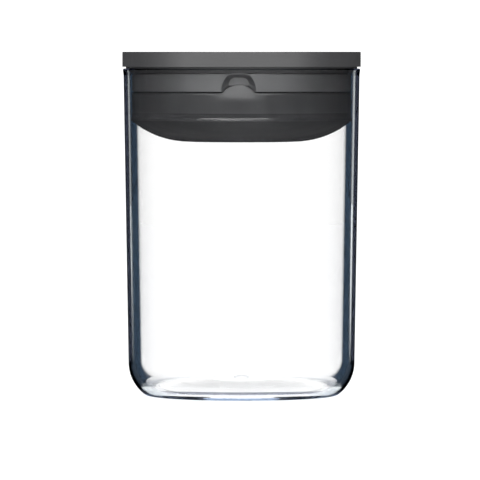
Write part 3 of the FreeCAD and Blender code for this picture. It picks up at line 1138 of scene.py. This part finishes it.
    def rings(self) -> list[Ring]:
        """Turn the section and press the scoop into it.

        Returns:
            A ring of points for each point of the section.
        """
        shares = self.columns.shares()
        rings = []
        for radius, height in self.profile().points:
            angles = self.columns.angles(self.half_width(height), self.sizes.band_radius)
            front = [polar(self.pressed(radius, height, share), angle, height)
                     for share, angle in zip(shares, angles)]
            rings.append(front + [polar(radius, angle, height) for angle in angles[len(shares):]])
        return rings

    def well_outline(self) -> Ring:
        """Draw the opening that the cap's finger well goes through.

        Returns:
            Its outline in plan.
        """
        outline = []
        inner_half = self.well_half - self.well_corner
        front = self.well_front + self.well_corner
        back = self.well_back - self.well_corner
        for corner, (side, end) in enumerate(((1, front), (1, back), (-1, back), (-1, front))):
            centre = Vector((side * inner_half, end, 0.0))
            for step in range(self.corner_steps + 1):
                angle = math.pi / 2 * (corner + step / self.corner_steps)
                outline.append(centre + polar(self.well_corner, angle))
        return outline

    def openings(self) -> list[Thing]:
        """Make the shapes that are cut out of the plate.

        Returns:
            The well's opening and the screw holes.
        """
        low = self.plate_bottom - self.cut_past
        high = self.top + self.cut_past
        tools = [add_prism("well_opening", self.well_outline(), low, high)]
        for number, turn in enumerate(self.screw_angles):
            centre = polar(self.screw_circle, math.radians(turn))
            outline = [centre + polar(self.screw_hole, angle) for angle in even_angles(self.hole_steps)]
            tools.append(add_prism(f"screw_hole_{number}", outline, low, high))
        return tools

    def build(self) -> None:
        """Make the collar."""
        piece = add_rings("scooped_collar", self.rings(), closed=True)
        cut_out(piece, self.openings())
        settle(piece, [self.finish], Body.LID, "plug_collar")


@dataclass
class SealBoot:
    """The soft boot: a rounded band with a pull tab, a flared lip and a domed underside."""

    finish: Material
    sizes: PlugSizes
    columns: FrontColumns
    rim_rounding: float = 1.6
    tab_rounding: float = 0.45
    tab_near: float = 5.0
    tab_fade: float = 4.0
    inner_rounding: float = 0.3
    inner_corner: float = 0.3
    wall_top: float = 2.0
    lean: float = 2.3
    lean_foot: float = 133.5
    lean_power: float = 1.5
    lean_near: float = 6.0
    lean_fade: float = 9.0
    flare_top: float = 128.2
    flare_tilt: float = math.radians(30.0)
    flare_curve: float = 2.0
    lip_z: float = 125.0
    lip_radius: float = 50.2
    lip_edge: float = 0.3
    dome_flat: float = 24.0
    dome_curve: float = 40.0
    dome_bottom: float = 115.15
    floor: float = 2.1
    rim_steps: int = 8
    face_steps: int = 14

    def rounding(self, across: float) -> float:
        """Rounding of the rim's outer edge, tight on the tab."""
        share = ease((abs(across) - self.tab_near) / self.tab_fade)
        return self.tab_rounding + (self.rim_rounding - self.tab_rounding) * share

    def face(self, across: float, height: float) -> float:
        """Find the boot's outside, which leans back towards the tab.

        Args:
            across: Distance from the middle of the front.
            height: Height on the boot.

        Returns:
            Its radius.
        """
        rise = max(0.0, height - self.lean_foot) / (self.sizes.seam + self.sizes.tab_height - self.lean_foot)
        near = 1 - ease((abs(across) - self.lean_near) / self.lean_fade)
        return self.sizes.band_radius - self.lean * near * rise ** self.lean_power

    def rim_column(self, across: float) -> list[Point]:
        """Draw one column from the boot's inside, over the rim and down to the flare.

        Args:
            across: The column's distance from the middle of the front.

        Returns:
            Its points.
        """
        top = self.sizes.rim(across)
        soft = self.inner_rounding
        back = self.sizes.tab_back(top)
        curve = self.rounding(across)
        start = top - curve
        crown = self.face(across, start) - curve
        points = [(self.sizes.spigot_radius, self.sizes.seam - self.wall_top)]
        points.append((back, top - soft))
        points.append((back + soft * self.inner_corner, top - soft * self.inner_corner))
        points.append((back + soft, top))
        for step in range(self.rim_steps + 1):
            angle = math.pi / 2 * step / self.rim_steps
            points.append((crown + curve * math.sin(angle), start + curve * math.cos(angle)))
        for step in range(1, self.face_steps + 1):
            height = start + (self.flare_top - start) * step / self.face_steps
            points.append((self.face(across, height), height))
        return points

    def inside(self) -> Profile:
        """Draw the boot's inside, from the middle of its floor up to its wall.

        Returns:
            The section.
        """
        size = self.sizes
        wall = size.spigot_radius
        centre = self.dome_bottom + self.dome_curve
        curve = self.dome_curve - self.floor
        reach = centre - math.sqrt(curve ** 2 - (wall - self.dome_flat) ** 2)
        bead = wall - size.bead_depth
        bead_bottom = size.bead_top - size.bead_height
        section = Profile(0.0, self.dome_bottom + self.floor)
        section.line(self.dome_flat, self.dome_bottom + self.floor)
        section.arc(wall, reach, self.dome_flat, centre)
        section.line(wall, bead_bottom).line(bead, bead_bottom)
        section.line(bead, size.bead_top).line(wall, size.bead_top)
        return section

    def underside(self) -> Profile:
        """Draw the boot's flare, lip and dome, from below its band to the middle of its underside.

        Returns:
            The section.
        """
        tilt = self.flare_tilt
        curve = self.flare_curve
        band = self.sizes.band_radius
        soft = self.lip_edge
        lip = self.lip_radius - soft
        brim = self.lip_radius - soft * (1 - math.cos(tilt))
        brim_z = self.lip_z + soft * math.sin(tilt)
        out = band + curve * (1 - math.cos(tilt))
        start = brim_z + (brim - out) / math.tan(tilt) + curve * math.sin(tilt)
        section = Profile(band, start)
        section.arc(out, start - curve * math.sin(tilt), band + curve, start)
        section.line(brim, brim_z).arc(self.lip_radius, self.lip_z, lip, self.lip_z)
        section.arc(lip, self.lip_z - soft, lip, self.lip_z)
        section.arc(self.dome_flat, self.dome_bottom, self.dome_flat, self.dome_bottom + self.dome_curve)
        section.line(0.0, self.dome_bottom)
        return section

    def rings(self) -> list[Ring]:
        """Join the inside, the shaped rim and the underside.

        Returns:
            The rings of points.
        """
        radius = self.sizes.band_radius
        angles = self.columns.angles(self.sizes.tab_half, radius)
        columns = []
        for angle in angles:
            across = radius * math.sin(angle) if math.cos(angle) > 0 else radius
            columns.append([polar(reach, angle, height) for reach, height in self.rim_column(across)])
        rim = [list(ring) for ring in zip(*columns)]
        return rings_of(self.inside(), angles) + rim + rings_of(self.underside(), angles)

    def build(self) -> None:
        """Make the boot."""
        piece = add_rings("soft_boot", self.rings())
        settle(piece, [self.finish], Body.LID, "seal_boot")


@dataclass
class ReturnSpring:
    """The coil spring round the plunger, with a flat dead turn at each end."""

    finish: Material
    radius: float = 5.5
    wire: float = 1.0
    close_pitch: float = 1.04
    low: float = 130.54
    high: float = 145.61
    sharp: float = 60.0
    live_turns: int = 4
    turn_steps: int = 48
    wire_steps: int = 12

    def turns(self) -> int:
        """Count all turns, with the dead one at each end."""
        return self.live_turns + 2

    def height(self, turn: float) -> float:
        """Find the height of the wire's middle along the coil: close, then open, then close.

        Args:
            turn: How many turns lie below.

        Returns:
            The height.
        """
        close = self.wire * self.close_pitch
        if turn < 1:
            return self.low + close * ease(turn) * turn
        if turn > self.live_turns + 1:
            left = self.turns() - turn
            return self.high - close * ease(left) * left
        share = (turn - 1) / self.live_turns
        return self.low + close + (self.high - self.low - 2 * close) * share

    def rings(self) -> list[Ring]:
        """Carry the wire's round section along the coil.

        Returns:
            The rings of points, with a pole at each end.
        """
        rings = []
        for step in range(self.turns() * self.turn_steps + 1):
            turn = step / self.turn_steps
            angle = 2 * math.pi * turn
            ring = []
            for around in even_angles(self.wire_steps):
                reach = self.radius + self.wire / 2 * math.cos(around)
                ring.append(polar(reach, angle, self.height(turn) + self.wire / 2 * math.sin(around)))
            rings.append(ring)
        first = sum(rings[0], Vector()) / self.wire_steps
        last = sum(rings[-1], Vector()) / self.wire_steps
        return [[first], *rings, [last]]

    def build(self) -> None:
        """Make the spring, which stretches between the lid and the plunger."""
        piece = add_rings("coil_spring", self.rings(), sharp=self.sharp)
        piece.data.materials.append(self.finish)
        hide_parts("return_spring")
        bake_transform(piece)
        log.info("%s stretches with the plunger", piece.name)


@dataclass
class CapAndMechanism:
    """The lid's cap, its lever and the mechanism inside, which keep their CAD meshes."""

    charcoal: Material
    steel: Material
    pale: Material

    def build(self) -> None:
        """Dress the pieces."""
        for node in ("lid_cap", "flip_lever"):
            dress(node, self.charcoal)
        for node in ("lever_pin", "cap_screws", "expander_screw"):
            dress(node, self.steel)
        for node in ("plunger", "expander"):
            dress(node, self.pale)


@dataclass(frozen=True)
class Softbox:
    """A soft lamp that faces the canister."""

    name: str
    place: Triple
    size: Pair
    power: float
    shadow: bool = True
    target: Triple = (0.0, 0.0, 0.1)

    def build(self) -> Thing:
        """Hang the lamp.

        Returns:
            The lamp.
        """
        data = bpy.data.lights.new(self.name, "AREA")
        data.shape = "RECTANGLE"
        data.size, data.size_y = self.size
        data.energy = self.power
        data.use_shadow = self.shadow
        lamp = add_thing(self.name, data)
        lamp.location = self.place
        look_at(lamp, self.target)
        return lamp


@dataclass(frozen=True)
class OverheadSun:
    """A wide, even light straight above."""

    name: str
    power: float
    shadow: bool = True
    width: float = math.radians(30.0)

    def build(self) -> Thing:
        """Hang the lamp.

        Returns:
            The lamp.
        """
        data = bpy.data.lights.new(self.name, "SUN")
        data.energy = self.power
        data.angle = self.width
        data.use_shadow = self.shadow
        return add_thing(self.name, data)


def link_lamp(lamp: Thing, lit: Lit, *things: Thing) -> None:
    """Link a lamp to the things that it lights or leaves unlit.

    Args:
        lamp: The lamp.
        lit: Whether it lights only these things, or all but these.
        things: The things.
    """
    linked = bpy.data.collections.new(f"{lamp.name}_things")
    for thing in things:
        linked.objects.link(thing)
    for link in linked.collection_objects:
        link.light_linking.link_state = lit.value
    lamp.light_linking.receiver_collection = linked


@dataclass
class Studio:
    """The pale floor, the white backdrop, the lamps and the camera.

    The two sky pairs give the directions where the backdrop is dark and where it is white.
    """

    floor_radius: float = 2.5
    floor_drop: float = 0.0002
    floor_sides: int = 96
    floor_roughness: float = 0.7
    floor_specular: float = 0.1
    # Painted dark reflection: the floor's colour where reflections see it away from the canister.
    floor_dark_in_reflections: Colour = (0.03, 0.042, 0.06)
    paper_cloud: float = 400.0
    paper_dim: Colour = (0.86, 0.86, 0.865)
    paper_bright: Colour = (0.88, 0.88, 0.88)
    wedge_slope: float = 0.65
    near: float = 0.048
    sky_sides: Pair = (0.82, 0.93)
    sky_heights: Pair = (0.42, 0.14)
    sky_dark: Colour = (0.02, 0.022, 0.027)
    sky_strength: float = 1.25
    overhead: OverheadSun = OverheadSun("overhead", power=2.1)
    floor_fill: OverheadSun = OverheadSun("floor_fill", power=2.5, shadow=False)
    key: Softbox = Softbox("wide_softbox", place=(-0.12, -1.15, 1.1), size=(2.0, 0.9), power=31.0)
    sweep: Softbox = Softbox("sweep_bounce", place=(0.0, -1.15, -0.8), size=(1.6, 0.6), power=18.0,
                             shadow=False)
    panel_turns: tuple[tuple[str, float], ...] = (("left_panel", -55.0), ("right_panel", 44.0))
    panel_distance: float = 1.3
    panel_height: float = 0.4
    panel_size: Pair = (0.9, 0.5)
    panel_power: float = 5.0
    camera_distance: float = 2.6
    camera_height: float = 0.155
    camera_turn: float = math.radians(1.45)
    sensor_width: float = 36.0
    frame_width: float = 0.2175
    aim: Triple = (-0.0007, 0.0, 0.0705)
    bounces: int = 24
    glossy_bounces: int = 16

    def floor(self) -> Thing:
        """Lay the floor.

        Returns:
            The floor.
        """
        radius = self.floor_radius / MM
        drop = self.floor_drop / MM
        rim = [polar(radius, angle, -drop) for angle in even_angles(self.floor_sides)]
        floor = add_piece("floor", rim, [range(len(rim))])
        shader = Shader("studio_floor")
        paper = shader.tint(shader.noise(self.paper_cloud), self.paper_dim, self.paper_bright)
        colour = shader.mix(Mixed.COLOURS, self.seen_plainly(shader), (*self.floor_dark_in_reflections, 1.0), paper)
        shader.set(Base_Color=colour, Roughness=self.floor_roughness, Specular_IOR_Level=self.floor_specular)
        floor.data.materials.append(shader.material)
        floor.visible_glossy = False
        return floor

    def seen_plainly(self, shader: Shader) -> Socket:
        """Tell where the floor is pale: all over, but in reflections only near by and in a wedge behind;
        elsewhere reflections see a painted dark reflection.

        Args:
            shader: The floor's material.

        Returns:
            The share of the paper's paleness.
        """
        axes = shader.axes(shader.place)
        slope = shader.calculate(Sum.DIVIDE, shader.calculate(Sum.ABSOLUTE, axes["X"]), axes["Y"])
        wedge = shader.calculate(Sum.COMPARE, slope, self.wedge_slope / 2, self.wedge_slope / 2)
        reach = shader.node("ShaderNodeVectorMath")
        reach.operation = "LENGTH"
        shader.link(shader.place, reach.inputs[0])
        near = shader.calculate(Sum.LESS_THAN, reach.outputs["Value"], self.near)
        depth = shader.node("ShaderNodeLightPath").outputs["Glossy Depth"]
        plain = shader.calculate(Sum.LESS_THAN, depth, NO_BOUNCE)
        return shader.calculate(Sum.MAXIMUM, shader.calculate(Sum.MAXIMUM, wedge, near), plain)

    def sky(self) -> None:
        """Hang a backdrop, white where it is seen plainly.

        What reflects it sees it white behind the canister only, fading to a dark room above and in front.
        """
        world = bpy.data.worlds.new("studio")
        bpy.context.scene.world = world
        world.use_nodes = True
        nodes = Nodes(world.node_tree)
        axes = nodes.axes(nodes.node("ShaderNodeTexCoord").outputs["Generated"])
        behind = nodes.spread(axes["Y"], *self.sky_sides)
        low = nodes.spread(axes["Z"], *self.sky_heights)
        white = nodes.calculate(Sum.MULTIPLY, behind, low)
        path = nodes.node("ShaderNodeLightPath").outputs
        depth = nodes.calculate(Sum.ADD, path["Glossy Depth"], path["Diffuse Depth"])
        plain = nodes.calculate(Sum.LESS_THAN, depth, NO_BOUNCE)
        share = nodes.calculate(Sum.MAXIMUM, white, plain)
        background = nodes.tree.nodes["Background"].inputs
        nodes.link(nodes.ramp(share, (0.0, self.sky_dark), (1.0, WHITE)), background["Color"])
        background["Strength"].default_value = self.sky_strength
        world.cycles_visibility.glossy = False

    def lamps(self, floor: Thing) -> None:
        """Hang the lamps. Some light only the floor, the plug or the cap.

        Args:
            floor: The floor.
        """
        self.overhead.build()
        link_lamp(self.floor_fill.build(), Lit.ONLY, floor)
        link_lamp(self.key.build(), Lit.ALL_BUT, floor)
        plug = [bpy.data.objects[name] for name in ("scooped_collar", "soft_boot")]
        link_lamp(self.sweep.build(), Lit.ONLY, *plug)
        for name, turn in self.panel_turns:
            place = polar(self.panel_distance, math.radians(turn), self.panel_height)
            panel = Softbox(name, tuple(place), self.panel_size, self.panel_power)
            link_lamp(panel.build(), Lit.ONLY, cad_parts["lid_cap"])

    def camera(self) -> None:
        """Set the camera at the photograph's viewing angle."""
        data = bpy.data.cameras.new("camera")
        data.sensor_width = self.sensor_width
        data.lens = self.sensor_width * self.camera_distance / self.frame_width
        camera = add_thing("camera", data)
        camera.location = polar(self.camera_distance, self.camera_turn, self.camera_height)
        look_at(camera, self.aim)
        bpy.context.scene.camera = camera

    def build(self) -> None:
        """Set the stage."""
        floor = self.floor()
        self.sky()
        self.lamps(floor)
        self.camera()
        scene = bpy.context.scene
        scene.view_settings.view_transform = "Standard"
        scene.cycles.max_bounces = self.bounces
        scene.cycles.glossy_bounces = self.glossy_bounces
        scene.cycles.transmission_bounces = self.bounces


def main() -> None:
    """Build the canister, then the set round it."""
    logging.basicConfig(level=logging.INFO, format="%(message)s")
    glass = glasses()
    charcoal = MouldedPlastic("charcoal_plastic", colour=(0.045, 0.045, 0.0465)).build()
    seal = SoftSilicone("soft_seal", colour=(0.025, 0.025, 0.0259)).build()
    steel = DrawnSteel("drawn_steel").build()
    pale = MouldedPlastic("pale_plastic", colour=(0.68, 0.68, 0.66), specular=0.5).build()
    sizes = PlugSizes()
    columns = FrontColumns()
    Vessel(glass).build()
    Collar(charcoal, sizes, columns).build()
    SealBoot(seal, sizes, columns).build()
    ReturnSpring(steel).build()
    CapAndMechanism(charcoal, steel, pale).build()
    Studio().build()


if __name__ == "__main__":
    main()
